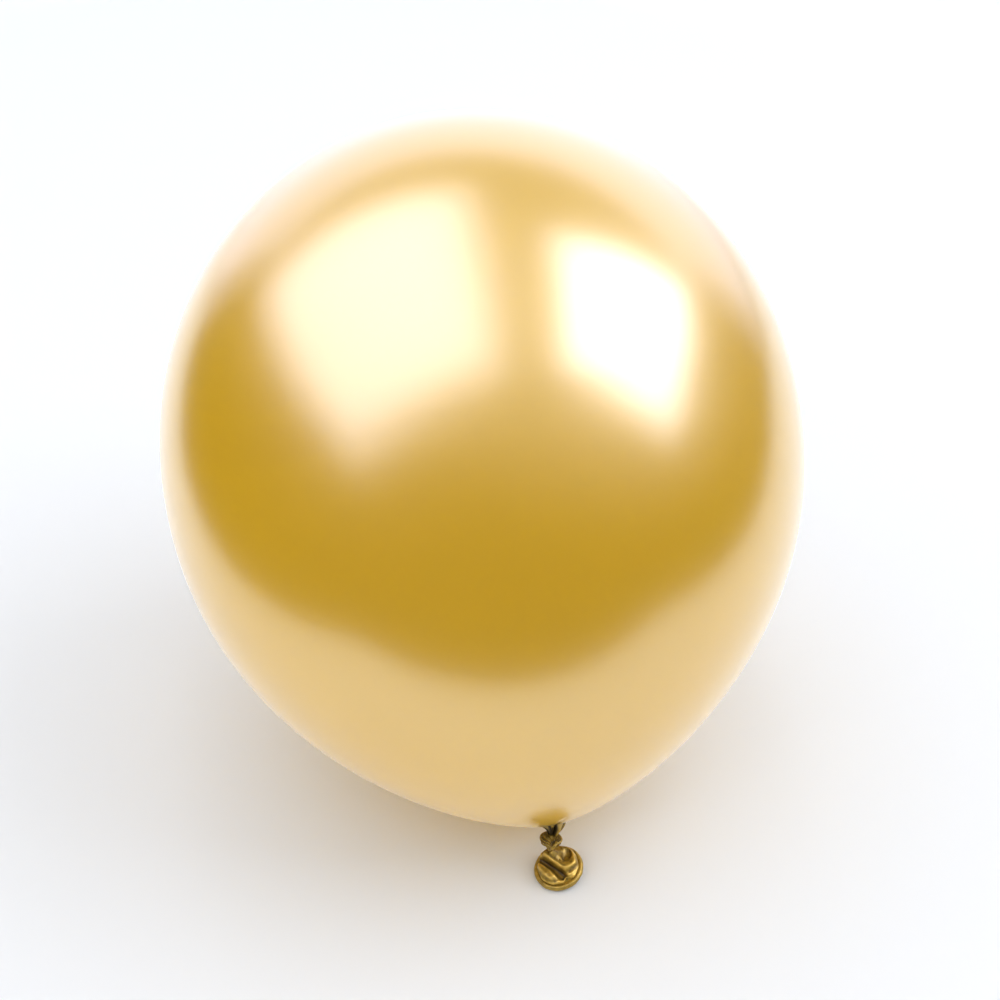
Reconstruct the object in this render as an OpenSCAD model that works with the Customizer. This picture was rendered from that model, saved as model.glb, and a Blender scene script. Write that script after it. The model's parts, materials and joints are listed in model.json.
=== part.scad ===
// Round latex party balloon, inflated and tied with an overhand knot, lying on its lower side.
// Millimetres. Z is up, the floor is z = 0, X = 0 is the body's plane of symmetry, and the tied
// neck points towards -Y and down. The body is a solid of revolution about the balloon's axis,
// which leans away from the vertical, so the balloon rests on a small flat patch and on its lip.

/* [Inflated body] */

// Widest radius of the inflated body
body_radius = 140; // [90:1:200]
// Length of the crown half, from the widest section to the crown, per unit of radius
crown_ratio = 1.057; // [0.9:0.001:1.2]
// Length of the neck half, from the widest section to the throat, per unit of radius
neck_ratio = 1.2; // [1.05:0.001:1.5]
// Fullness of the neck half: how far the body stays wide before it closes
neck_fullness = 2.12; // [1.8:0.01:2.6]
// Bluntness of the neck half: a smaller value closes more abruptly at the throat
neck_bluntness = 0.654; // [0.5:0.001:0.9]
// Lean of the balloon's axis away from the vertical, in degrees
body_lean = 41.6; // [30:0.1:55]

/* [Wall] */

// Wall thickness of the skin at the crown and the widest section
wall_crown = 0.3; // [0.25:0.01:0.5]
// Wall thickness of the skin at the neck, where it is least stretched
wall_neck = 2.2; // [1:0.05:2.6]
// Radius of the small flat patch that the body rests on
patch_radius = 5; // [2:0.5:8]
// Radius of the thick spot at the crown
crown_spot_radius = 4.5; // [2:0.1:8]

/* [Neck and knot] */

// Radius of the gathered shoulder where it meets the body
gather_radius = 7; // [6:0.1:8]
// Number of pleats around the gathered shoulder
gather_pleats = 11; // [7:1:15]
// Radius of the knot's loop, outside
knot_radius = 4.5; // [4.1:0.1:4.8]
// Distance from the throat's pivot to the middle of the knot
knot_drop = 6.2; // [6.2:0.1:7.2]
// Angle of the throat from straight down, forwards
throat_lean = 15; // [12:0.1:28]
// Angle of the throat from straight down, towards -X
throat_side = 14.5; // [0:0.1:16]

/* [Tail and lip] */

// Outer radius of the rolled lip
lip_radius = 11; // [9:0.1:13]
// Radius of the rolled bead itself
lip_bead = 1.3; // [0.8:0.05:1.6]
// Slope of the lip's plane about X
lip_pitch = 6.3; // [0:0.1:12]
// Slope of the lip's plane about Y
lip_roll = -13.7; // [-18:0.1:0]
// Wall thickness of the unstretched tail
tail_wall = 0.7; // [0.5:0.05:1]
// Depth of the creases that run down the tail, as a part of its radius
tail_crease = 0.1; // [0:0.01:0.16]

/* [Hidden] */

crown_length = body_radius * crown_ratio;
neck_length = body_radius * neck_ratio;
profile_steps = 36;
wall_growth = 4;

// Body outline: s is the distance along the axis from the widest section, towards the neck.
function neck_r(s) =
    body_radius * pow(max(0, 1 - pow(s / neck_length, neck_fullness)), neck_bluntness);
function crown_r(s) =
    body_radius * sqrt(max(0, 1 - pow(s / crown_length, 2)));
function body_r(s) = s < 0 ? crown_r(s) : neck_r(s);
function wall(s) =
    wall_crown + (wall_neck - wall_crown) * pow(max(0, s) / neck_length, wall_growth);

// The gathered shoulder starts on a flat end, a little before the outline closes.
function cut_search(lo, hi, n) =
    n == 0 ? lo :
    neck_r((lo + hi) / 2) > gather_radius
        ? cut_search((lo + hi) / 2, hi, n - 1)
        : cut_search(lo, (lo + hi) / 2, n - 1);
body_end = cut_search(neck_length * 0.9, neck_length, 30);

crown_points = [for (i = [0 : profile_steps])
    let (u = 90 - 90 * i / profile_steps) -crown_length * sin(u)];
neck_points = [for (i = [1 : profile_steps]) body_end * sin(90 * i / profile_steps)];
stations = concat(crown_points, neck_points);

// Unit outward normal of the outline, as [radial, axial]
function slope(s) =
    let (e = 0.02)
    let (a = max(-crown_length, s - e))
    let (b = min(body_end, s + e))
    let (dr = body_r(b) - body_r(a))
    let (ds = b - a)
    [ds, -dr] / norm([dr, ds]);
outer_line = [for (s = stations) [body_r(s), -s]];
inner_line = [for (i = [len(stations) - 1 : -1 : 0])
    let (s = stations[i])
    let (n = i == 0 ? [0, -1] : slope(s))
    [max(0, body_r(s) - wall(s) * n[0]), -(s - wall(s) * n[1])]];

// Where the leaning body touches the floor, and how far it reaches each way
function down(s) = s * cos(body_lean) + body_r(s) * sin(body_lean);
function ahead(s) = s * sin(body_lean) + body_r(s) * cos(body_lean);
function behind(s) = -s * sin(body_lean) + body_r(s) * cos(body_lean);
fine = [for (i = [-200 : 200]) i < 0 ? i * crown_length / 200 : i * body_end / 200];
drop = max([for (s = fine) down(s)]);
touch_s = [for (s = fine) if (down(s) > drop - 0.000001) s][0];
patch_depth = patch_radius * patch_radius / (2 * body_radius);
centre_z = drop - patch_depth;
centre_y = (max([for (s = fine) ahead(s)]) - max([for (s = fine) behind(s)])) / 2;
patch_y = centre_y - touch_s * sin(body_lean) + body_r(touch_s) * cos(body_lean);

// The throat's pivot is on the axis, just past the point where the outline would close.
pivot_out = 0.8;
pivot_s = neck_length + pivot_out;
pivot_y = centre_y - pivot_s * sin(body_lean);
pivot_z = centre_z - pivot_s * cos(body_lean);
channel_radius = 2.6;
throat_ball = 1.8;
throat_rod = 1.25;
play = 0.25;

// Knot: pivot at its top, loop in the middle, pivot at its foot, all on the throat's line
knot_tube = 1.9;
knot_ring = knot_radius - knot_tube;
knot_half = 3.5;
knot_top_pivot = knot_drop - knot_half + 1;
knot_foot_pivot = knot_drop + knot_half - 0.6;
knot_ball = 1.5;
strand_radius = 2.1;
throat_dir = [
    -sin(throat_side),
    -cos(throat_side) * sin(throat_lean),
    -cos(throat_side) * cos(throat_lean)
];
foot = [0, pivot_y, pivot_z] + knot_foot_pivot * throat_dir;

// Lip: a rolled bead whose lowest point touches the floor
lip_ring_radius = lip_radius - lip_bead;
lip_up = [
    cos(lip_pitch) * sin(lip_roll),
    -sin(lip_pitch),
    cos(lip_pitch) * cos(lip_roll)
];
lip_z = lip_bead + lip_ring_radius * sqrt(1 - lip_up[2] * lip_up[2]);
lip_x = 0.85;
lip_y = centre_y - 118.5 * body_radius / 140;
lip_at = [lip_x, lip_y, lip_z];

// Places children drawn about the balloon's axis (neck towards -Z) into the row's frame.
module on_body() {
    translate([0, centre_y, centre_z])
        rotate([-body_lean, 0, 0])
            children();
}

// Places children drawn about the throat's line, with the pivot at the origin and the knot towards -Z.
module on_throat() {
    translate([0, pivot_y, pivot_z])
        rotate([-throat_lean, 0, 0])
            rotate([0, throat_side, 0])
                children();
}

// Hollow inflated skin, open at the neck channel, with the flat patch it rests on
module envelope() {
    color([0.80, 0.62, 0.16])
        difference() {
            on_body()
                rotate_extrude($fn = 96)
                    polygon(concat(outer_line, inner_line));
            on_body()
                translate([0, 0, -neck_length - 5])
                    cylinder(r = channel_radius, h = 16, $fn = 32);
            translate([-30, patch_y - 30, -20])
                cube([60, 60, 20]);
        }
}

// Thick spot where the film is least stretched, at the far end of the body
module crown_spot() {
    color([0.66, 0.48, 0.10])
        on_body()
            translate([0, 0, crown_length])
                rotate_extrude($fn = 48)
                    polygon([
                        [0, 0],
                        [crown_spot_radius, 0],
                        [crown_spot_radius * 0.86, 0.3],
                        [crown_spot_radius * 0.5, 0.55],
                        [0, 0.65]
                    ]);
}

// Trumpet-shaped shoulder with pleat notches, ending in a socket for the throat
module neck_gather() {
    base = pivot_s - body_end;
    rim = 3;
    rim_drop = 0.35;
    notch = 0.8;
    color([0.70, 0.51, 0.12])
        on_body()
            translate([0, 0, -pivot_s])
                difference() {
                    rotate_extrude($fn = 64)
                        polygon([
                            [0, base],
                            [gather_radius, base],
                            [gather_radius * 0.86, base * 0.68],
                            [gather_radius * 0.66, base * 0.3],
                            [rim + 0.4, 0],
                            [rim, -rim_drop],
                            [0, -rim_drop]
                        ]);
                    for (i = [0 : gather_pleats - 1])
                        rotate([0, 0, 360 * (i + 0.5) / gather_pleats])
                            translate([gather_radius, 0, 0])
                                cylinder(r = notch, h = 4 * base, center = true, $fn = 24);
                    sphere(r = throat_ball + play, $fn = 48);
                    translate([0, 0, -1])
                        cylinder(r1 = 3.1, r2 = 1.9, h = 1, $fn = 48);
                }
}

// Squeezed strand of neck: a ball in the shoulder's socket, a short rod, a ball in the knot's top
module neck_throat() {
    color([0.62, 0.44, 0.10])
        on_throat()
            union() {
                sphere(r = throat_ball, $fn = 48);
                translate([0, 0, -knot_top_pivot])
                    cylinder(r = throat_rod, h = knot_top_pivot, $fn = 32);
                translate([0, 0, -knot_top_pivot])
                    sphere(r = knot_ball, $fn = 48);
            }
}

// Two turns of the overhand loop pulled tight, with room for the strand through the middle
module knot_loop() {
    color([0.60, 0.42, 0.09])
        on_throat()
            translate([0, 0, -knot_drop])
                difference() {
                    union() {
                        for (side = [-1, 1])
                            translate([0, 0, side * (knot_half - knot_tube)])
                                rotate([side * 4, side * -5, 0])
                                    rotate_extrude($fn = 64)
                                        translate([knot_ring, 0])
                                            circle(r = knot_tube, $fn = 32);
                        cylinder(r = knot_ring, h = 2 * knot_half - 1.2, center = true, $fn = 48);
                    }
                    cylinder(r = strand_radius + 0.02, h = 4 * knot_half, center = true, $fn = 48);
                    translate([0, 0, knot_drop - knot_top_pivot])
                        cylinder(r1 = knot_ball + play, r2 = 4.4, h = 2.2, $fn = 48);
                    translate([0, 0, knot_drop - knot_foot_pivot - 2.2])
                        cylinder(r1 = 4.4, r2 = knot_ball + play, h = 2.2, $fn = 48);
                }
}

// Strand that the loop is tied around, hollowed at both ends to seat the throat and the tail
module knot_strand() {
    seat = knot_ball + play;
    length = knot_foot_pivot - knot_top_pivot;
    color([0.54, 0.37, 0.08])
        on_throat()
            translate([0, 0, -knot_foot_pivot])
                difference() {
                    cylinder(r = strand_radius, h = length, $fn = 48);
                    sphere(r = seat, $fn = 48);
                    translate([0, 0, length])
                        sphere(r = seat, $fn = 48);
                }
}

// Tail: rings lofted from a rounded root in the knot's foot to the mouth, outside down, inside up
skirt_sides = 40;
skirt_rings = 16;
skirt_gap = 0.1;
mouth_at = lip_at + (lip_bead + skirt_gap) * lip_up;
skirt_axis = (mouth_at - foot) / norm(mouth_at - foot);

function unit(v) = v / norm(v);
function mix(a, b, t) = a * (1 - t) + b * t;
function ease(t) = t * t * (3 - 2 * t);
function skirt_up(t) = unit(mix(-skirt_axis, lip_up, ease(t)));
function skirt_centre(t) =
    let (reach = norm(mouth_at - foot))
    let (straight = mix(foot, mouth_at, t))
    let (leave = foot + throat_dir * reach * 0.35 * t)
    mix(mix(leave, straight, t), straight, t);
root_radius = 1.3;
root_end = 0.23;
function flare(t) = min(1, max(0, (t - root_end) / (1 - root_end)));
function skirt_radius(t) =
    root_radius + (lip_ring_radius + 0.25 - root_radius) * pow(sin(90 * flare(t)), 1.5);
function crease(t, a) =
    1 + tail_crease * sin(180 * flare(t)) * cos(5 * a + 40);
function ring(centre, up, r, t) =
    let (e1 = unit(cross([0, 1, 0], up)))
    let (e2 = cross(up, e1))
    [for (k = [0 : skirt_sides - 1])
        let (a = 360 * k / skirt_sides)
        centre + r * crease(t, a) * (cos(a) * e1 + sin(a) * e2)];

root_rings = [for (i = [0 : 3])
    let (a = 12 + 22 * i)
    ring(foot - skirt_axis * root_radius * cos(a), -skirt_axis, root_radius * sin(a), 0)];
outside_rings = [for (i = [0 : skirt_rings])
    let (t = i / skirt_rings)
    ring(skirt_centre(t), skirt_up(t), skirt_radius(t), t)];
inside_rings = [for (i = [skirt_rings : -1 : 6])
    let (t = i / skirt_rings)
    let (sunk = i == skirt_rings ? 0 : 0.12)
    ring(skirt_centre(t) - skirt_up(t) * sunk, skirt_up(t), skirt_radius(t) - tail_wall, t)];
skirt_loft = concat(root_rings, outside_rings, inside_rings);
skirt_points = [for (r = skirt_loft) each r];
skirt_last = len(skirt_loft) - 1;
skirt_faces = concat(
    [[for (k = [skirt_sides - 1 : -1 : 0]) k]],
    [[for (k = [0 : skirt_sides - 1]) skirt_last * skirt_sides + k]],
    [for (j = [0 : skirt_last - 1], k = [0 : skirt_sides - 1])
        let (n = (k + 1) % skirt_sides)
        [j * skirt_sides + k, j * skirt_sides + n, (j + 1) * skirt_sides + n]],
    [for (j = [0 : skirt_last - 1], k = [0 : skirt_sides - 1])
        let (n = (k + 1) % skirt_sides)
        [j * skirt_sides + k, (j + 1) * skirt_sides + n, (j + 1) * skirt_sides + k]]
);

module tail_skirt() {
    color([0.66, 0.47, 0.11])
        polyhedron(points = skirt_points, faces = skirt_faces, convexity = 6);
}

// Rolled bead around the mouth
module tail_lip() {
    color([0.58, 0.40, 0.08])
        translate(lip_at)
            rotate([lip_pitch, lip_roll, 0])
                rotate_extrude($fn = 96)
                    translate([lip_ring_radius, 0])
                        circle(r = lip_bead, $fn = 32);
}

envelope();
crown_spot();
neck_gather();
neck_throat();
knot_loop();
knot_strand();
tail_skirt();
tail_lip();
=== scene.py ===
import bpy, json, math, random
from mathutils import Vector, Matrix, noise


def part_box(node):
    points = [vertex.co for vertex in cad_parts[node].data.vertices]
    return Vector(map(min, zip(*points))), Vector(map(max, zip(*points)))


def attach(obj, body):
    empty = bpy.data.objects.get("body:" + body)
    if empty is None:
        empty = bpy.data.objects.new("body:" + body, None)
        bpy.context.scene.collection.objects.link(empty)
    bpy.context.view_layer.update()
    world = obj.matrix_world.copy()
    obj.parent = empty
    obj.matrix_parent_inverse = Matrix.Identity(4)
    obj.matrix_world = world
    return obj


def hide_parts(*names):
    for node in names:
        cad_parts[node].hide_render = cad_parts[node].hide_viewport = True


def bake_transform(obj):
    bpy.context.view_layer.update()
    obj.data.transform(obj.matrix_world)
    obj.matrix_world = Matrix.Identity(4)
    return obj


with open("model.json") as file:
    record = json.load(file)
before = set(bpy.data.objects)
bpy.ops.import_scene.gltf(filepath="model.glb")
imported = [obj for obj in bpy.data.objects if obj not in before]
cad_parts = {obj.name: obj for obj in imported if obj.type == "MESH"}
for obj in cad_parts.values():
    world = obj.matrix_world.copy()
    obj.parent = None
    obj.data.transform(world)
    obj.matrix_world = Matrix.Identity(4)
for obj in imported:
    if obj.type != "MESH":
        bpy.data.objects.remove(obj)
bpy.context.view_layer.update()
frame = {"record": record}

MM = 0.001

# ---------------------------------------------------------------- measures taken from the frame
skin_low, skin_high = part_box("envelope")
lip_low, lip_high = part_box("tail_lip")
joints = {j["name"]: j for j in frame["record"]["behaviour"]["joints"]}
THROAT = Vector(joints["neck_bend"]["pos_m"])
KNOT_TOP = Vector(joints["neck_sway"]["pos_m"])
KNOT_FOOT = Vector(joints["tail_nod"]["pos_m"])

# The outline is the same formula as the part's: crown half an ellipse, neck half a blunt taper.
RADIUS = (skin_high[0] - skin_low[0]) / 2
CROWN_LENGTH = RADIUS * 1.057
NECK_LENGTH = RADIUS * 1.2
FULLNESS, BLUNTNESS = 2.12, 0.654
LEAN = math.radians(41.6)
PIVOT_OUT = 0.8 * MM
AXIS = Vector((0, -math.sin(LEAN), -math.cos(LEAN)))      # towards the neck
CENTRE = THROAT - AXIS * (NECK_LENGTH + PIVOT_OUT)        # middle of the widest section
SIDE = Vector((1, 0, 0))
UP = Vector((0, 0, 1))

# The lip's ring: its bead, its middle and the way its mouth faces
LIP_BEAD = 1.3 * MM
LIP_RING = 9.7 * MM
LIP_PITCH, LIP_ROLL = math.radians(6.3), math.radians(-13.7)
LIP_UP = Vector((
    math.cos(LIP_PITCH) * math.sin(LIP_ROLL),
    -math.sin(LIP_PITCH),
    math.cos(LIP_PITCH) * math.cos(LIP_ROLL),
))
LIP_AT = (Vector(lip_low) + Vector(lip_high)) / 2

# The camera stands in front of the neck side, a little to its left, and looks down.
CAMERA_TURN = math.radians(16.2)
CAMERA_PITCH = math.radians(35.9)
CAMERA_FROM_CENTRE = Vector((-0.1508, -0.5477, 0.3834))
CAMERA_FIELD = math.radians(36)
LOOK_FLAT = Vector((math.sin(CAMERA_TURN), math.cos(CAMERA_TURN), 0))
LOOK_RIGHT = Vector((math.cos(CAMERA_TURN), -math.sin(CAMERA_TURN), 0))


# ---------------------------------------------------------------- small helpers
def clamp(x, low=0.0, high=1.0):
    return max(low, min(high, x))


def ease(x):
    x = clamp(x)
    return x * x * (3 - 2 * x)


def bump(x, width):
    return math.exp(-(x / width) ** 2)


def angle_gap(a, b):
    return (a - b + math.pi) % (2 * math.pi) - math.pi


def mesh_object(name, points, faces, smooth=True):
    mesh = bpy.data.meshes.new(name)
    mesh.from_pydata([tuple(p) for p in points], [], faces)
    mesh.validate()
    mesh.update()
    piece = bpy.data.objects.new(name, mesh)
    bpy.context.scene.collection.objects.link(piece)
    for face in mesh.polygons:
        face.use_smooth = smooth
    return piece


def grid_faces(rows, sides, cap_start=None, cap_end=None):
    """Quads between rows of sides points each; caps are single points added after the rows."""
    faces = []
    for j in range(rows - 1):
        for k in range(sides):
            n = (k + 1) % sides
            faces.append((j * sides + k, j * sides + n, (j + 1) * sides + n, (j + 1) * sides + k))
    for k in range(sides):
        n = (k + 1) % sides
        if cap_start is not None:
            faces.append((cap_start, n, k))
        if cap_end is not None:
            last = (rows - 1) * sides
            faces.append((cap_end, last + k, last + n))
    return faces


def apply_modifiers(piece):
    bpy.context.view_layer.update()
    graph = bpy.context.evaluated_depsgraph_get()
    mesh = bpy.data.meshes.new_from_object(piece.evaluated_get(graph))
    piece.modifiers.clear()
    piece.data = mesh
    for face in mesh.polygons:
        face.use_smooth = True


def set_folds(piece, values):
    """Store how far each point lies in a fold, 0, or on a ridge, 1; flat is 0.5. The latex shader
    paints shade into the folds and a highlight onto the ridges from it
    """
    made = piece.data.attributes.new("fold", "FLOAT", "POINT")
    for item, value in zip(made.data, values):
        item.value = clamp(value)


def mark_folds(piece, sharpness, spread=3):
    """Find the folds and ridges from the mesh: how far each point stands off its surroundings, which
    sets where shade and highlight are painted
    """
    mesh = piece.data
    beside = [[] for _ in mesh.vertices]
    for edge in mesh.edges:
        a, b = edge.vertices
        beside[a].append(b)
        beside[b].append(a)
    places = [v.co.copy() for v in mesh.vertices]
    smooth = places
    for _ in range(spread):
        smooth = [
            (place + sum((smooth[i] for i in near), Vector())) / (len(near) + 1)
            for place, near in zip(smooth, beside)]
    raised = [
        (place - soft).dot(v.normal) / MM
        for place, soft, v in zip(places, smooth, mesh.vertices)]
    for _ in range(spread):
        raised = [
            (value + sum(raised[i] for i in near)) / (len(near) + 1)
            for value, near in zip(raised, beside)]
    set_folds(piece, [0.5 + value * sharpness for value in raised])


# ---------------------------------------------------------------- materials
def new_material(name):
    material = bpy.data.materials.new(name)
    material.use_nodes = True
    tree = material.node_tree
    tree.nodes.clear()
    return material, tree


def node(tree, kind, **values):
    """A shader node, with a fixed value in each named socket; _ in a name stands for a space"""
    made = tree.nodes.new(kind)
    for key, value in values.items():
        made.inputs[key.replace("_", " ")].default_value = value
    return made


def ramp(tree, factor, stops):
    made = tree.nodes.new("ShaderNodeValToRGB")
    elements = made.color_ramp.elements
    while len(elements) < len(stops):
        elements.new(0.5)
    for element, (place, colour) in zip(elements, stops):
        element.position = place
        element.color = (*colour, 1)
    tree.links.new(factor, made.inputs["Fac"])
    return made.outputs["Color"]


def noise_at(tree, scale, detail=2.0, roughness=0.5):
    place = tree.nodes.new("ShaderNodeTexCoord")
    made = tree.nodes.new("ShaderNodeTexNoise")
    made.inputs["Scale"].default_value = scale
    made.inputs["Detail"].default_value = detail
    made.inputs["Roughness"].default_value = roughness
    tree.links.new(place.outputs["Object"], made.inputs["Vector"])
    return made.outputs["Fac"]


def mix_colour(tree, factor, a, b):
    """From a to b as factor goes from 0 to 1; a and b are colours or the outputs of nodes"""
    made = tree.nodes.new("ShaderNodeMix")
    made.data_type = "RGBA"
    tree.links.new(factor, made.inputs["Factor"])
    for socket, value in ((made.inputs[6], a), (made.inputs[7], b)):
        if isinstance(value, tuple):
            socket.default_value = (*value, 1)
        else:
            tree.links.new(value, socket)
    return made.outputs[2]


def distance_from(tree, point):
    """Distance of the shaded point from a fixed point of the frame, in metres"""
    place = tree.nodes.new("ShaderNodeTexCoord")
    measure = tree.nodes.new("ShaderNodeVectorMath")
    measure.operation = "DISTANCE"
    measure.inputs[1].default_value = point
    tree.links.new(place.outputs["Object"], measure.inputs[0])
    return measure.outputs["Value"]


def map_range(tree, value, low, high, to_low=0.0, to_high=1.0):
    made = tree.nodes.new("ShaderNodeMapRange")
    made.clamp = True
    made.interpolation_type = "SMOOTHSTEP"
    made.inputs["From Min"].default_value = low
    made.inputs["From Max"].default_value = high
    made.inputs["To Min"].default_value = to_low
    made.inputs["To Max"].default_value = to_high
    tree.links.new(value, made.inputs["Value"])
    return made.outputs["Result"]


def close_to(tree, point, full, gone, most=1.0):
    """most within the distance full of a point of the frame, and 0 beyond the distance gone"""
    return map_range(tree, distance_from(tree, point), full, gone, most, 0.0)


def mix_shaders(tree, factor, a, b):
    made = tree.nodes.new("ShaderNodeMixShader")
    tree.links.new(factor, made.inputs["Fac"])
    tree.links.new(a, made.inputs[1])
    tree.links.new(b, made.inputs[2])
    return made.outputs["Shader"]


def add_shaders(tree, a, b):
    made = tree.nodes.new("ShaderNodeAddShader")
    tree.links.new(a, made.inputs[0])
    tree.links.new(b, made.inputs[1])
    return made.outputs["Shader"]


def end_surface(tree, shader):
    output = tree.nodes.new("ShaderNodeOutputMaterial")
    tree.links.new(shader, output.inputs["Surface"])


def bump_from(tree, height, strength, distance, under=None):
    made = tree.nodes.new("ShaderNodeBump")
    made.inputs["Strength"].default_value = strength
    made.inputs["Distance"].default_value = distance
    tree.links.new(height, made.inputs["Height"])
    if under is not None:
        tree.links.new(under, made.inputs["Normal"])
    return made.outputs["Normal"]


# Colours, linear
SKIN_GOLD = (0.22, 0.144, 0.0)         # what the film scatters back
THROAT_GOLD = (0.10, 0.078, 0.02)      # the same round the throat, where the film is gathered
SKIN_THROUGH = (0.48, 0.366, 0.0)      # what the film lets through: the inside glows evenly
SKIN_DEEP = (0.43, 0.310, 0.0)         # the same where the film is thicker
CROWN_THROUGH = (0.20, 0.120, 0.0)     # the same at the crown's thick spot
THROAT_THROUGH = (0.10, 0.080, 0.010)  # the same round the throat
# painted shade: near-black laid into the folds and creases of the thick latex, where shade falls
PAINTED_FOLD_SHADE = (0.045, 0.026, 0.002)
# painted highlight: pale gold laid onto the ridges of the thick latex, where the lamps would catch
# them
PAINTED_RIDGE_HIGHLIGHT = (0.85, 0.56, 0.10)
THICK = (0.46, 0.29, 0.03), (0.17, 0.105, 0.008), 0.40     # light, dark, roughness
LIP = (0.46, 0.30, 0.035), (0.20, 0.125, 0.01), 0.44
RIM_PALE = (0.42, 0.42, 0.43, 1)   # gloss that covers the glow towards the outline
PEARL = (1.0, 0.91, 0.65)          # colour of the pearl's reflection, head on
# How many spots of each pattern lie along a metre
CLOUD_SCALE, PEEL_SCALE, FLAKE_SCALE = 9, 55, 2600
PATCH_SCALE, WRINKLE_SCALE, GRAIN_SCALE = 420, 900, 5200


def skin_film(tree, near_throat):
    """Light that comes through the film: even, but dimmer at the crown's thick spot and the throat"""
    cloud = noise_at(tree, CLOUD_SCALE, 3)
    crown = CENTRE - AXIS * CROWN_LENGTH
    film = mix_colour(
        tree, map_range(tree, cloud, 0.35, 0.65, 0.0, 0.25), SKIN_THROUGH, SKIN_DEEP)
    film = mix_colour(tree, close_to(tree, crown, 3 * MM, 13 * MM, 0.8), film, CROWN_THROUGH)
    film = mix_colour(tree, near_throat, film, THROAT_THROUGH)
    through = node(tree, "ShaderNodeBsdfTranslucent")
    tree.links.new(film, through.inputs["Color"])
    return through.outputs["BSDF"]


def skin_pearl(tree, near_throat):
    """The film's own gold under a satin pearl reflection"""
    shader = node(
        tree, "ShaderNodeBsdfPrincipled", IOR=2.8, Specular_Tint=(*PEARL, 1),
        Coat_Weight=0.8, Coat_Roughness=0.24, Coat_IOR=1.9)
    gold = mix_colour(tree, near_throat, SKIN_GOLD, THROAT_GOLD)
    tree.links.new(gold, shader.inputs["Base Color"])
    flake = noise_at(tree, FLAKE_SCALE, 1)
    tree.links.new(map_range(tree, flake, 0.3, 0.7, 0.28, 0.31), shader.inputs["Roughness"])
    peel = noise_at(tree, PEEL_SCALE, 2)
    tree.links.new(bump_from(tree, peel, 0.05, 2 * MM), shader.inputs["Normal"])
    return shader.outputs["BSDF"]


def skin_material():
    """Pearl latex film, which turns into thick latex where it is gathered into the knot"""
    material, tree = new_material("pearl_latex_skin")
    near_throat = close_to(tree, THROAT, 5 * MM, 18 * MM)
    rim = node(tree, "ShaderNodeBsdfGlossy", Color=RIM_PALE, Roughness=0.25)
    facing = node(tree, "ShaderNodeLayerWeight", Blend=0.25)
    towards_rim = map_range(tree, facing.outputs["Facing"], 0.25, 0.85, 0.0, 0.7)
    glow = mix_shaders(tree, towards_rim, skin_film(tree, near_throat), rim.outputs["BSDF"])
    film = add_shaders(tree, skin_pearl(tree, near_throat), glow)
    into_knot = close_to(tree, THROAT, 4.2 * MM, 9.5 * MM)
    thick = thick_shader(tree, *THICK).outputs["BSDF"]
    end_surface(tree, mix_shaders(tree, into_knot, film, thick))
    return material


def thick_shader(tree, light, dark, roughness):
    """Unstretched latex of the knot, tail and lip: darker, with fine wrinkles, painted shade in its
    folds and a painted highlight on its ridges
    """
    patches = noise_at(tree, PATCH_SCALE, 4, 0.6)
    body = ramp(tree, patches, [(0.32, dark), (0.68, light)])
    grain = noise_at(tree, GRAIN_SCALE, 2, 0.7)
    fold = tree.nodes.new("ShaderNodeAttribute")
    fold.attribute_name = "fold"
    # painted shade: the deeper a point lies in a fold, the darker its colour
    painted_shade_in_fold = map_range(tree, fold.outputs["Fac"], 0.05, 0.5, 1.0, 0.0)
    # painted highlight: the higher a point stands on a ridge, the paler its colour
    painted_highlight_on_ridge = map_range(tree, fold.outputs["Fac"], 0.5, 0.9, 0.0, 1.0)
    body = mix_colour(tree, painted_shade_in_fold, body, PAINTED_FOLD_SHADE)
    body = mix_colour(tree, painted_highlight_on_ridge, body, PAINTED_RIDGE_HIGHLIGHT)
    body = mix_colour(tree, map_range(tree, grain, 0.35, 0.65, 0.0, 0.18), body, dark)
    shader = node(
        tree, "ShaderNodeBsdfPrincipled", Metallic=0.6, IOR=1.7,
        Coat_Weight=0.1, Coat_Roughness=0.3)
    tree.links.new(body, shader.inputs["Base Color"])
    tree.links.new(
        map_range(tree, patches, 0.3, 0.7, roughness + 0.08, roughness - 0.06),
        shader.inputs["Roughness"])
    wrinkle = noise_at(tree, WRINKLE_SCALE, 3, 0.6)
    normal = bump_from(tree, wrinkle, 0.18, 0.4 * MM)
    normal = bump_from(tree, grain, 0.10, 0.1 * MM, normal)
    tree.links.new(normal, shader.inputs["Normal"])
    return shader


def thick_material(name, light, dark, roughness):
    material, tree = new_material(name)
    end_surface(tree, thick_shader(tree, light, dark, roughness).outputs["BSDF"])
    return material


# ---------------------------------------------------------------- the inflated skin
def crown_r(s):
    return RADIUS * math.sqrt(max(0.0, 1 - (s / CROWN_LENGTH) ** 2))


def neck_r(s):
    return RADIUS * max(0.0, 1 - (s / NECK_LENGTH) ** FULLNESS) ** BLUNTNESS


def neck_s(r):
    return NECK_LENGTH * (1 - (r / RADIUS) ** (1 / BLUNTNESS)) ** (1 / FULLNESS)


PLEATS = 9
pleat_random = random.Random(7)
PLEAT_AT = [
    2 * math.pi * (k + 0.30 * (pleat_random.random() - 0.5)) / PLEATS + 0.12
    for k in range(PLEATS)
]
PLEAT_DEEP = [0.75 + 0.5 * pleat_random.random() for k in range(PLEATS)]
PLEAT_REACH = [0.6 + 0.8 * pleat_random.random() for k in range(PLEATS)]


def pleat_depth(angle, r):
    """How far the film is folded in at this angle, when the ring it lies on has radius r"""
    depth = 0.0
    for at, deep, reach in zip(PLEAT_AT, PLEAT_DEEP, PLEAT_REACH):
        start = (11 + 12 * reach) * MM
        fade = clamp((start - r) / (start - 4 * MM)) ** 2.2
        width = 0.6 * MM / max(r, 2.5 * MM) + 0.035
        depth += deep * fade * bump(angle_gap(angle, at), width)
    return depth * min(2.0 * MM, 0.52 * r)


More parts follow.
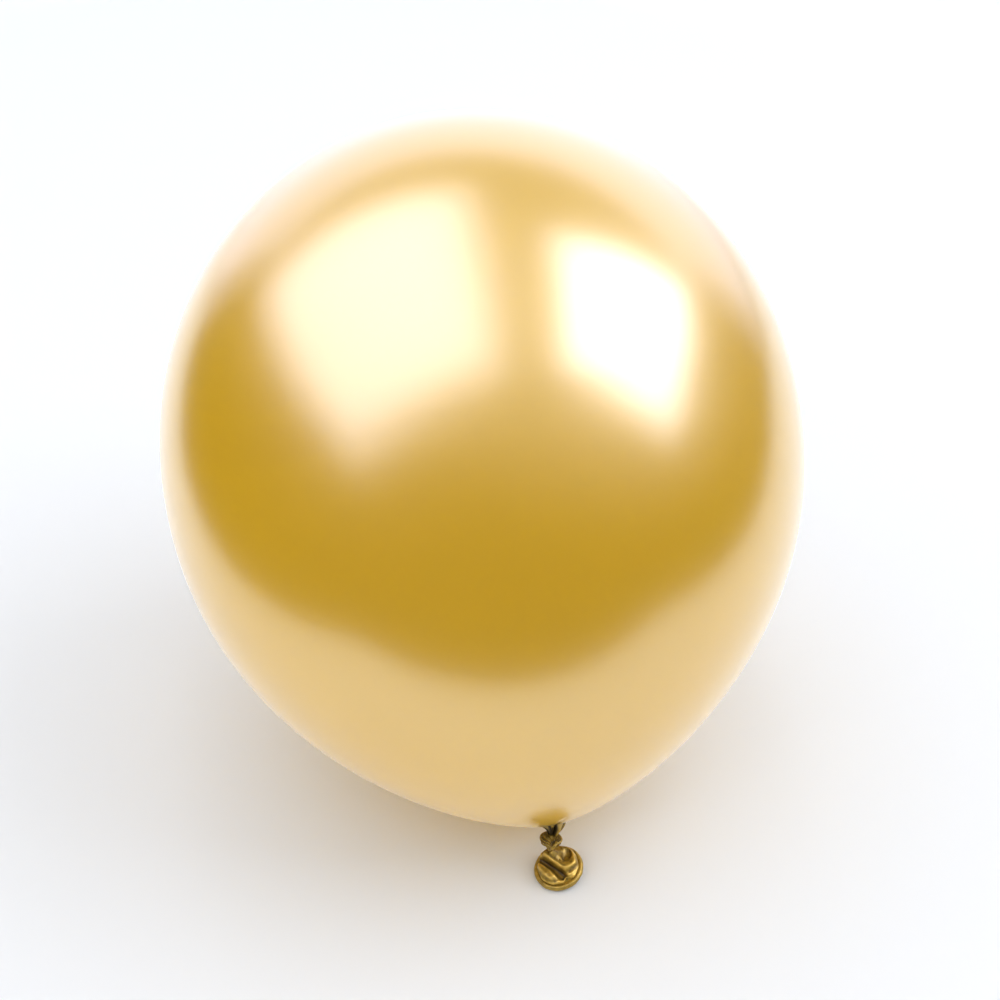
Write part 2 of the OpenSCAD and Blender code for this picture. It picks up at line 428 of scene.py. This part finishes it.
CROWN_STEPS, NECK_STEPS, GATHER_STEPS, THROAT_STEPS = 60, 64, 30, 12
SKIN_SIDES = 288
GATHER_R = 24 * MM       # where the fine rings of the gather begin
OUT_R = 6.2 * MM         # where the film leaves the outline and turns into the throat
STRAND_R = 2.6 * MM      # where it enters the knot
STAR_FOLDS = 7


def outline():
    """(distance along the axis, radius) of each ring on the outline, crown to throat"""
    rings = []
    for j in range(1, CROWN_STEPS + 1):
        u = math.pi / 2 * (1 - (j / CROWN_STEPS) ** 0.85)
        s = -CROWN_LENGTH * math.sin(u)
        rings.append((s, crown_r(s)))
    for j in range(1, NECK_STEPS + 1):
        s = neck_s(GATHER_R) * math.sin(math.pi / 2 * j / NECK_STEPS)
        rings.append((s, neck_r(s)))
    for j in range(1, GATHER_STEPS + 1):
        r = GATHER_R + (OUT_R - GATHER_R) * (j / GATHER_STEPS)
        rings.append((neck_s(r), r))
    return rings


def skin_rings():
    """Each ring's centre, direction, radius, and the outward and forward shares of its normal"""
    rings = outline()
    made = []
    for i, (s, r) in enumerate(rings):
        before, after = rings[max(0, i - 1)], rings[min(len(rings) - 1, i + 1)]
        run, rise = after[0] - before[0], after[1] - before[1]
        length = math.hypot(run, rise)
        made.append((CENTRE + AXIS * s, AXIS, r, run / length, -rise / length))
    start = CENTRE + AXIS * rings[-1][0]
    bend = THROAT + AXIS * 0.6 * MM
    for j in range(1, THROAT_STEPS + 1):
        t = j / THROAT_STEPS
        centre = start.lerp(bend, t).lerp(bend.lerp(KNOT_TOP, t), t)
        way = ((bend - start).lerp(KNOT_TOP - bend, t)).normalized()
        r = STRAND_R + (OUT_R - STRAND_R) * (1 - t) ** 1.15
        made.append((centre, way, r, 1.0, 0.25 * (1 - t)))
    return made


def star_depth(angle, r):
    """Deep folds of the throat, which start where the film leaves the outline"""
    if r >= OUT_R:
        return 0.0
    star = 0.5 + 0.5 * math.cos(STAR_FOLDS * angle + 0.9 + 0.5 * math.sin(2 * angle))
    return 0.46 * r * star ** 1.5 * ease((OUT_R - r) / (1.6 * MM))


def crown_swell(s_from_pole):
    """The thick spot at the crown stands out as a shallow nipple"""
    return 0.9 * MM * bump(s_from_pole, 3.6 * MM) + 0.5 * MM * bump(s_from_pole, 9 * MM)


def make_skin():
    """One closed film: crown, body, pleats of the gather, and the folded throat up to the knot"""
    points, folds = [], []
    pole = CENTRE - AXIS * CROWN_LENGTH
    rings = skin_rings()
    for centre, way, r, out_share, along_share in rings:
        e1 = (SIDE - way * SIDE.dot(way)).normalized()
        e2 = way.cross(e1)
        on_neck = (centre - CENTRE).dot(AXIS) > 0
        for k in range(SKIN_SIDES):
            angle = 2 * math.pi * k / SKIN_SIDES
            radial = e1 * math.cos(angle) + e2 * math.sin(angle)
            normal = radial * out_share + way * along_share
            depth = pleat_depth(angle, r) + star_depth(angle, r) if on_neck else 0.0
            point = centre + radial * r - normal * depth
            point += normal * crown_swell((point - pole).length)
            point.z = max(point.z, 0.0)
            points.append(point)
            # how deep the film is folded in: near the knot this paints shade into the pleats
            folds.append(0.68 - 0.62 * depth / MM)
    points.append(pole - AXIS * crown_swell(0.0))
    points.append(KNOT_TOP)
    folds += [0.5, 0.0]
    last = len(rings) * SKIN_SIDES
    piece = mesh_object("balloon_skin", points, grid_faces(len(rings), SKIN_SIDES, last, last + 1))
    piece.data.materials.append(skin_material())
    set_folds(piece, folds)
    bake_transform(piece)
    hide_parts("envelope", "crown_spot", "neck_gather", "neck_throat")


# ---------------------------------------------------------------- the knot
KNOT_AT = (KNOT_TOP + KNOT_FOOT) / 2
KNOT_WAY = (KNOT_FOOT - KNOT_TOP).normalized()


def knot_frame():
    """Right, up and front of the knot, as the camera's side sees it"""
    up = -KNOT_WAY
    right = (LOOK_RIGHT - up * LOOK_RIGHT.dot(up)).normalized()
    front = right.cross(up).normalized()
    return right, up, front


WRAP_SIZES = (4.15 * MM, 3.3 * MM, 3.8 * MM)     # half its width, height and depth
WRAP_FOLDS = 12


def make_knot_wrap(thick):
    """Tight wrap: folds of film that all run into one hole, low on the right of the front"""
    right, up, front = knot_frame()
    hole = (right * 0.52 + front * 0.84 + up * 0.12).normalized()
    e1 = (up - hole * up.dot(hole)).normalized()
    e2 = hole.cross(e1)
    rows, sides = 64, 200
    points = []
    for j in range(rows):
        beta = math.pi * (j + 0.6) / rows
        for k in range(sides):
            alpha = 2 * math.pi * k / sides
            turn = alpha + 1.1 * bump(beta, 0.55)
            around = e1 * math.cos(turn) + e2 * math.sin(turn)
            way = hole * math.cos(beta) + around * math.sin(beta)
            drift = 1.3 * math.sin(3 * alpha + 2.2) + 0.5 * math.sin(4 * beta)
            fold = 0.5 + 0.5 * math.sin(WRAP_FOLDS * alpha + drift)
            ridge = (fold ** 0.6 - 0.55) * 0.62 * MM * clamp(math.sin(beta) * 1.25) ** 0.7
            dimple = -1.7 * MM * bump(beta, 0.24) + 0.28 * MM * bump(beta - 0.5, 0.2)
            lump = 0.35 * MM * noise.noise(way * 1.7 + Vector((3, 1, 8)))
            round_off = 1 + 0.08 * (1 - abs(way.dot(up)))
            point = KNOT_AT.copy()
            for axis, size in zip((right, up, front), WRAP_SIZES):
                point += axis * way.dot(axis) * size * round_off
            point += way * (ridge + dimple + lump)
            points.append(point)
    base = rows * sides
    points.append(KNOT_AT + hole * 2.3 * MM)
    points.append(KNOT_AT - hole * 4.1 * MM)
    piece = mesh_object("knot_wrap", points, grid_faces(rows, sides, base, base + 1))
    piece.data.materials.append(thick)
    mark_folds(piece, 8.0, 3)
    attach(piece, "knot")
    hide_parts("knot_loop")


def catmull(points, steps):
    """Smooth route through points"""
    route = []
    ends = [points[0] * 2 - points[1]] + points + [points[-1] * 2 - points[-2]]
    for i in range(1, len(ends) - 2):
        a, b, c, d = ends[i - 1], ends[i], ends[i + 1], ends[i + 2]
        for j in range(steps):
            t = j / steps
            route.append(
                (b * 2 + (c - a) * t + (a * 2 - b * 5 + c * 4 - d) * t * t
                 + (b * 3 - a - c * 3 + d) * t * t * t) * 0.5)
    route.append(points[-1].copy())
    return route


def strand_mesh(name, route, radius_at, pleats, sides=48):
    """Pleated rope of film along a route; radius_at(t) gives (wide, thick)"""
    points = []
    count = len(route)
    side = None
    for i, centre in enumerate(route):
        way = (route[min(count - 1, i + 1)] - route[max(0, i - 1)]).normalized()
        if side is None:
            side = way.orthogonal().normalized()
        side = (side - way * side.dot(way)).normalized()
        other = way.cross(side)
        t = i / (count - 1)
        wide, thick = radius_at(t)
        for k in range(sides):
            a = 2 * math.pi * k / sides
            groove = 1 - 0.16 * (0.5 + 0.5 * math.cos(pleats * a + 2.5 * t)) ** 3
            out = side * math.cos(a) * wide + other * math.sin(a) * thick
            points.append(centre + out * groove)
    base = count * sides
    points.append(route[0].copy())
    points.append(route[-1].copy())
    return mesh_object(name, points, grid_faces(count, sides, base, base + 1))


def turn_size(t):
    return 1.1 * MM * (0.55 + 0.45 * math.sin(math.pi * clamp(t * 1.1))), 0.95 * MM


def tuck_size(t):
    return 0.85 * MM + 0.25 * MM * math.sin(math.pi * t), 0.7 * MM + 0.35 * MM * t


# Routes on the knot, in millimetres: right, up and front from its middle
TURN_ROUTE = [
    (1.9, 0.2, 3.1), (3.7, 0.7, 1.6), (4.1, 1.0, -0.8), (2.3, 1.2, -3.2),
    (-0.8, 1.1, -3.9), (-3.4, 0.6, -2.4), (-4.0, -0.1, 0.2), (-2.6, -0.8, 2.2)]
TUCK_ROUTE = [
    (2.1, 0.8, 2.6), (1.7, 0.1, 3.9), (1.1, -1.0, 4.1), (1.0, -2.1, 3.3),
    (0.9, -3.2, 2.0), (0.5, -4.0, 0.8)]


def knot_rope(name, route, size_at, pleats, thick):
    right, up, front = knot_frame()
    places = [KNOT_AT + (right * x + up * y + front * z) * MM for x, y, z in route]
    piece = strand_mesh(name, catmull(places, 12), size_at, pleats)
    piece.data.materials.append(thick)
    mark_folds(piece, 8.0, 2)
    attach(piece, "knot")
    return piece


def make_knot_turns(thick):
    """The band that goes round the knot's back, and the strand that comes out of the hole"""
    knot_rope("knot_turn", TURN_ROUTE, turn_size, 7, thick)
    tuck = knot_rope("knot_tuck", TUCK_ROUTE, tuck_size, 5, thick)
    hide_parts("knot_strand")


# ---------------------------------------------------------------- the tail
def tail_frame():
    """Right, back and up of the lip's ring, as the camera's side sees it"""
    right = (LOOK_RIGHT - LIP_UP * LOOK_RIGHT.dot(LIP_UP)).normalized()
    back = LIP_UP.cross(right)
    return right, back, LIP_UP


def nearest_on(line, u, v):
    """Distance from (u, v) to a line of (u, v, height) points, and the line's height there"""
    best_gap, best_height = 1e9, 0.0
    for (u0, v0, h0), (u1, v1, h1) in zip(line, line[1:]):
        du, dv = u1 - u0, v1 - v0
        along = clamp(((u - u0) * du + (v - v0) * dv) / (du * du + dv * dv + 1e-9))
        gap = math.hypot(u - u0 - du * along, v - v0 - dv * along)
        if gap < best_gap:
            best_gap, best_height = gap, h0 + (h1 - h0) * along
    return best_gap, best_height


# Ridges and valleys of the folded cap, in millimetres: right, back and up from the lip's middle
CAP_LINES = [
    # the long valley across the front, from the left shoulder to the front right
    [(-8.4, 3.2, 2.6), (-6.2, 2.0, 2.2), (-4.0, 0.4, 2.0), (-1.2, -1.9, 1.9), (1.4, -4.9, 1.6),
     (3.4, -7.0, 1.5), (4.6, -8.2, 1.2)],
    # the fold along its left side
    [(-9.1, 0.7, 4.3), (-7.0, -1.5, 5.3), (-4.6, -4.2, 5.2), (-2.6, -6.6, 4.6), (-1.4, -8.3, 3.4)],
    # the fold along its right side, which goes on round the right hand bowl
    [(-4.6, 4.0, 7.6), (-2.9, 1.9, 7.4), (-0.6, 0.0, 6.6), (2.0, -1.7, 6.0), (4.4, -2.5, 5.8),
     (6.4, -1.7, 5.6), (7.8, 0.2, 5.2), (8.3, 3.2, 4.8), (7.2, 6.0, 4.7)],
    # the bowl
    [(3.0, 2.2, 3.4), (4.5, 3.7, 2.6), (5.2, 5.4, 2.9)],
    # the facet in front of the bowl
    [(5.2, -5.0, 3.9), (6.8, -4.2, 3.9), (8.2, -2.6, 3.7)],
    # a narrow pleat that runs down from the knot and ends in a small bump
    [(-1.4, 3.0, 9.2), (0.2, 2.2, 6.9), (1.5, 1.7, 5.7)],
    # the back
    [(-7.2, 5.2, 4.9), (-4.4, 7.4, 4.4), (-1.4, 6.4, 5.8), (1.6, 7.8, 4.2)],
    [(-3.2, 8.6, 3.3), (-2.8, 6.2, 4.3)],
]
# In millimetres as well: the cap's rim, and the height and radius of its root
SHOULDER_R, SHOULDER_H = 9.0, 3.7
ROOT_H, ROOT_R = 8.6, 1.55


def cap_height(u, v, root_u, root_v):
    """Height of the cap over the lip's plane, between its fold lines, its rim and its root"""
    total, weight = 0.0, 0.0
    samples = [nearest_on(line, u, v) for line in CAP_LINES]
    samples.append((max(0.0, SHOULDER_R - math.hypot(u, v)) * 1.5 + 0.45, SHOULDER_H))
    samples.append((math.hypot(u - root_u, v - root_v) * 1.15, ROOT_H))
    for gap, height in samples:
        share = 1 / (gap * gap + 0.10) ** 1.7
        total += share * height
        weight += share
    return total / weight


WALL_ROWS, CAP_ROWS, ROOT_ROWS, SKIRT_SIDES = 16, 70, 16, 240
WALL_TOP, CAP_EDGE_R = 2.85, 9.24
FILM = 0.35 * MM


def wall_dent(a):
    """Dents of the wall: where the front valley leaves it, at the left, and small ones all round"""
    dent = 1.5 * bump(angle_gap(a, math.radians(-61)), 0.20)
    dent += 0.7 * bump(angle_gap(a, math.radians(160)), 0.22)
    return dent + 0.25 * math.sin(4 * a + 0.6) + 0.12 * math.sin(11 * a)


def wall_point(a, q):
    """Inside the lip, from just over the floor to the cap's edge as q goes from 0 to 1"""
    r = 8.55 + 0.70 * math.sin(math.pi * (0.08 + 0.50 * q)) - wall_dent(a) * ease(q)
    return r * math.cos(a), r * math.sin(a), 0.35 + 2.5 * q


def cap_point(a, q, root_u, root_v):
    """On the folded cap, from its edge to its root"""
    r = CAP_EDGE_R - wall_dent(a)
    edge_u, edge_v = r * math.cos(a), r * math.sin(a)
    in_u, in_v = root_u + ROOT_R * math.cos(a), root_v + ROOT_R * math.sin(a)
    t = 1 - (1 - q) ** 1.15 if q < 1 else 1.0
    u, v = edge_u + (in_u - edge_u) * t, edge_v + (in_v - edge_v) * t
    h = cap_height(u, v, root_u, root_v)
    return u, v, WALL_TOP + (h - WALL_TOP) * math.sin(math.pi / 2 * clamp(q / 0.13)) ** 0.8


def root_point(a, q, root_u, root_v, root_h):
    """On the pleated root, from the cap into the knot"""
    pleat = 0.24 * math.cos(6 * a + 0.8 + 1.2 * q) + 0.10 * math.cos(13 * a)
    r = ROOT_R - 0.18 * math.sin(math.pi * q) + pleat * ease(q * 2)
    u, v = root_u + r * math.cos(a), root_v + r * math.sin(a)
    start = cap_height(
        root_u + ROOT_R * math.cos(a), root_v + ROOT_R * math.sin(a), root_u, root_v)
    return u, v, start + (root_h + 0.7 - start) * q


def skirt_points():
    """Rows of the wall, the cap and the root, with a slight ripple all over"""
    right, back, up = tail_frame()
    root = KNOT_FOOT - LIP_AT
    root_u, root_v, root_h = root.dot(right) / MM, root.dot(back) / MM, root.dot(up) / MM
    points = []
    for j in range(WALL_ROWS + CAP_ROWS + ROOT_ROWS):
        for k in range(SKIRT_SIDES):
            a = 2 * math.pi * k / SKIRT_SIDES
            if j < WALL_ROWS:
                u, v, h = wall_point(a, j / WALL_ROWS)
            elif j < WALL_ROWS + CAP_ROWS:
                u, v, h = cap_point(a, (j - WALL_ROWS) / (CAP_ROWS - 1), root_u, root_v)
            else:
                q = (j - WALL_ROWS - CAP_ROWS + 1) / ROOT_ROWS
                u, v, h = root_point(a, q, root_u, root_v, root_h)
            ripple = 0.13 * noise.noise(Vector((u * 0.7, v * 0.7, h * 0.5)))
            ripple += 0.05 * noise.noise(Vector((u * 2.3, v * 2.3, h * 1.5)))
            h = max(h + ripple * clamp((h - 1.5) / 2), 0.2)
            points.append(LIP_AT + (right * u + back * v + up * h) * MM)
    return points


def make_tail_skirt(thick):
    """Unstretched neck end: a wall inside the lip, a folded cap, and a root that enters the knot"""
    rows = WALL_ROWS + CAP_ROWS + ROOT_ROWS
    piece = mesh_object("tail_skirt_sheet", skirt_points(), grid_faces(rows, SKIRT_SIDES))
    soften = piece.modifiers.new("soften", "SMOOTH")
    soften.factor = 0.5
    soften.iterations = 2
    shell = piece.modifiers.new("wall", "SOLIDIFY")
    shell.thickness = FILM
    shell.offset = -1
    apply_modifiers(piece)
    piece.data.materials.append(thick)
    mark_folds(piece, 4.5, 8)
    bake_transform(piece)
    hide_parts("tail_skirt")


def make_lip(thick):
    """Rolled bead, a little uneven along its length, with the roll's edge on its inner side"""
    right, back, up = tail_frame()
    around, sides = 220, 40
    points = []
    for i in range(around):
        a = 2 * math.pi * i / around
        out = right * math.cos(a) + back * math.sin(a)
        wander = noise.noise(Vector((2.2 * math.cos(a), 2.2 * math.sin(a), 4.0)))
        fine = noise.noise(Vector((7 * math.cos(a), 7 * math.sin(a), 9.0)))
        size = 1 + 0.06 * wander + 0.035 * fine
        ring = LIP_RING + 0.14 * MM * wander
        for k in range(sides):
            b = 2 * math.pi * k / sides
            roll = 1 - 0.13 * bump(angle_gap(b, math.radians(128)), 0.16)
            point = LIP_AT + out * (ring + LIP_BEAD * size * roll * math.cos(b))
            point += up * LIP_BEAD * size * roll * math.sin(b)
            point.z = max(point.z, 0.0)
            points.append(point)
    faces = []
    for i in range(around):
        n = (i + 1) % around
        for k in range(sides):
            m = (k + 1) % sides
            faces.append((i * sides + k, n * sides + k, n * sides + m, i * sides + m))
    piece = mesh_object("lip_bead", points, faces)
    piece.data.materials.append(thick)
    mark_folds(piece, 6.0, 2)
    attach(piece, "tail")
    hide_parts("tail_lip")


# ---------------------------------------------------------------- stage, light and camera
def flat_material(name, colour, roughness):
    material, tree = new_material(name)
    shader = node(
        tree, "ShaderNodeBsdfPrincipled", Roughness=roughness, Specular_IOR_Level=0.2,
        Base_Color=(*colour, 1))
    end_surface(tree, shader.outputs["BSDF"])
    return material


def stage_sheet(name, corners, height, material):
    points = [Vector((x, y, height)) for x, y in corners]
    piece = mesh_object(name, points, [tuple(range(len(points)))], smooth=False)
    piece.data.materials.append(material)
    return piece


# The white paper, seen from above, in metres. The balloon mirrors it as far as these edges.
PAPER = [
    (-0.34, -0.27), (0.30, -0.44), (0.58, -0.18), (1.50, 0.35),
    (1.50, 2.60), (-1.60, 2.60), (-0.50, 0.35)]


FLOOR_REACH, FLOOR_BELOW = 14, 0.2 * MM
FLOOR = [(-FLOOR_REACH, -FLOOR_REACH), (FLOOR_REACH, -FLOOR_REACH),
         (FLOOR_REACH, FLOOR_REACH), (-FLOOR_REACH, FLOOR_REACH)]


def make_stage():
    """The paper, and a floor just under it that carries on beyond its edges but isn't mirrored"""
    white = flat_material("white_paper", (0.84, 0.87, 0.915), 0.8)
    stage_sheet("paper", PAPER, 0.0, white)
    floor = stage_sheet("floor", FLOOR, -FLOOR_BELOW, white)
    floor.visible_glossy = False


def area_light(name, way, distance, wide, tall, radiance, colour, spin=0.0):
    """A rectangle that faces the balloon's centre, at a distance in metres"""
    data = bpy.data.lights.new(name, "AREA")
    data.shape = "RECTANGLE"
    data.size, data.size_y = wide, tall
    data.energy = radiance * math.pi * wide * tall
    data.color = colour
    lamp = bpy.data.objects.new(name, data)
    bpy.context.scene.collection.objects.link(lamp)
    way = Vector(way).normalized()
    lamp.location = CENTRE + way * distance
    lamp.visible_camera = False
    lamp.rotation_mode = "QUATERNION"
    turned = Matrix.Rotation(spin, 3, "Z").to_quaternion()
    lamp.rotation_quaternion = way.to_track_quat("Z", "Y") @ turned
    return lamp


def towards(azimuth, elevation):
    """Direction at so many degrees from +Y towards +X, and so many above the floor"""
    turn, rise = math.radians(azimuth), math.radians(elevation)
    return Vector((
        math.sin(turn) * math.cos(rise), math.cos(turn) * math.cos(rise), math.sin(rise)))


# A softbox is brighter in its middle, so it is mirrored as two sheets, one behind the other:
# share of the light, share of the size, distance in metres
SHEETS = ("wide", 0.42, 1.13, 2.03), ("middle", 0.58, 0.86, 2.0)
MIRRORED_COLOUR = (0.93, 0.95, 1.22)
LIT_DISTANCE = 2.0


def softbox(name, way, wide, tall, mirrored, lit, spin=0.0):
    """What the balloon mirrors of a softbox, and apart from it the gentler light that it throws"""
    for sheet, share, scale, distance in SHEETS:
        shine = area_light(
            name + "_" + sheet, way, distance, wide * scale, tall * scale,
            mirrored * share, MIRRORED_COLOUR, spin)
        shine.visible_diffuse = False
    if lit:
        glow = area_light(name + "_lit", way, LIT_DISTANCE, wide, tall, lit, (1, 1, 1), spin)
        glow.visible_glossy = False


def make_lights():
    softbox("softbox_left", (-0.49, 0.06, 0.86), 2.9, 2.5, 2.8, 2.3)
    softbox("softbox_right", (0.669, -0.203, 0.715), 1.6, 1.5, 5.2, 3.2, math.radians(12))
    softbox("backdrop", towards(18, 18), 5.2, 1.7, 1.25, 0)


LOW_FILL = 0.26           # soft light from the walls
HIGH_FILL = 0.92          # and from the ceiling
ROOM_MIRRORED = 0.004     # what the balloon mirrors of the dark room
GLOW_MIRRORED = 0.50      # and of the lit ceiling round the softboxes
GLOW_AT = Vector((0.36, 0.05, 0.93)).normalized()
BACKDROP_SEEN = (0.90, 0.92, 0.93)


def background(tree, strength, colour=(1, 1, 1)):
    """Light of one colour; strength is a number or the output of a node"""
    made = tree.nodes.new("ShaderNodeBackground")
    made.inputs["Color"].default_value = (*colour, 1)
    if isinstance(strength, float):
        made.inputs["Strength"].default_value = strength
    else:
        tree.links.new(strength, made.inputs["Strength"])
    return made.outputs["Background"]


def near_way(tree, way):
    """How well each direction of the room agrees with way: 1 along it, 0 across it"""
    place = tree.nodes.new("ShaderNodeTexCoord")
    made = tree.nodes.new("ShaderNodeVectorMath")
    made.operation = "DOT_PRODUCT"
    made.inputs[1].default_value = way
    tree.links.new(place.outputs["Generated"], made.inputs[0])
    return made.outputs["Value"]


def make_world():
    """The room: its light, what the balloon mirrors of it, and what the camera sees of it"""
    world = bpy.data.worlds.new("studio")
    world.use_nodes = True
    tree = world.node_tree
    tree.nodes.clear()
    fill = map_range(tree, near_way(tree, UP), 0.0, 0.7, LOW_FILL, HIGH_FILL)
    ceiling = map_range(tree, near_way(tree, GLOW_AT), 0.15, 0.95, ROOM_MIRRORED, GLOW_MIRRORED)
    ray = tree.nodes.new("ShaderNodeLightPath")
    light = mix_shaders(
        tree, ray.outputs["Is Glossy Ray"], background(tree, fill), background(tree, ceiling))
    room = mix_shaders(
        tree, ray.outputs["Is Camera Ray"], light, background(tree, 1.0, BACKDROP_SEEN))
    output = tree.nodes.new("ShaderNodeOutputWorld")
    tree.links.new(room, output.inputs["Surface"])
    bpy.context.scene.world = world


def make_camera():
    data = bpy.data.cameras.new("camera")
    data.lens = data.sensor_width / 2 / math.tan(CAMERA_FIELD / 2)
    camera = bpy.data.objects.new("camera", data)
    bpy.context.scene.collection.objects.link(camera)
    camera.location = CENTRE + CAMERA_FROM_CENTRE
    way = LOOK_FLAT * math.cos(CAMERA_PITCH) - UP * math.sin(CAMERA_PITCH)
    camera.rotation_mode = "QUATERNION"
    camera.rotation_quaternion = way.to_track_quat("-Z", "Y")
    bpy.context.scene.camera = camera


make_camera()
make_world()
make_stage()
make_lights()
thick_latex = thick_material("thick_latex", *THICK)
lip_latex = thick_material("lip_latex", *LIP)
make_skin()
make_knot_wrap(thick_latex)
make_knot_turns(thick_latex)
make_tail_skirt(thick_latex)
make_lip(lip_latex)
bpy.context.scene.view_settings.view_transform = "Standard"
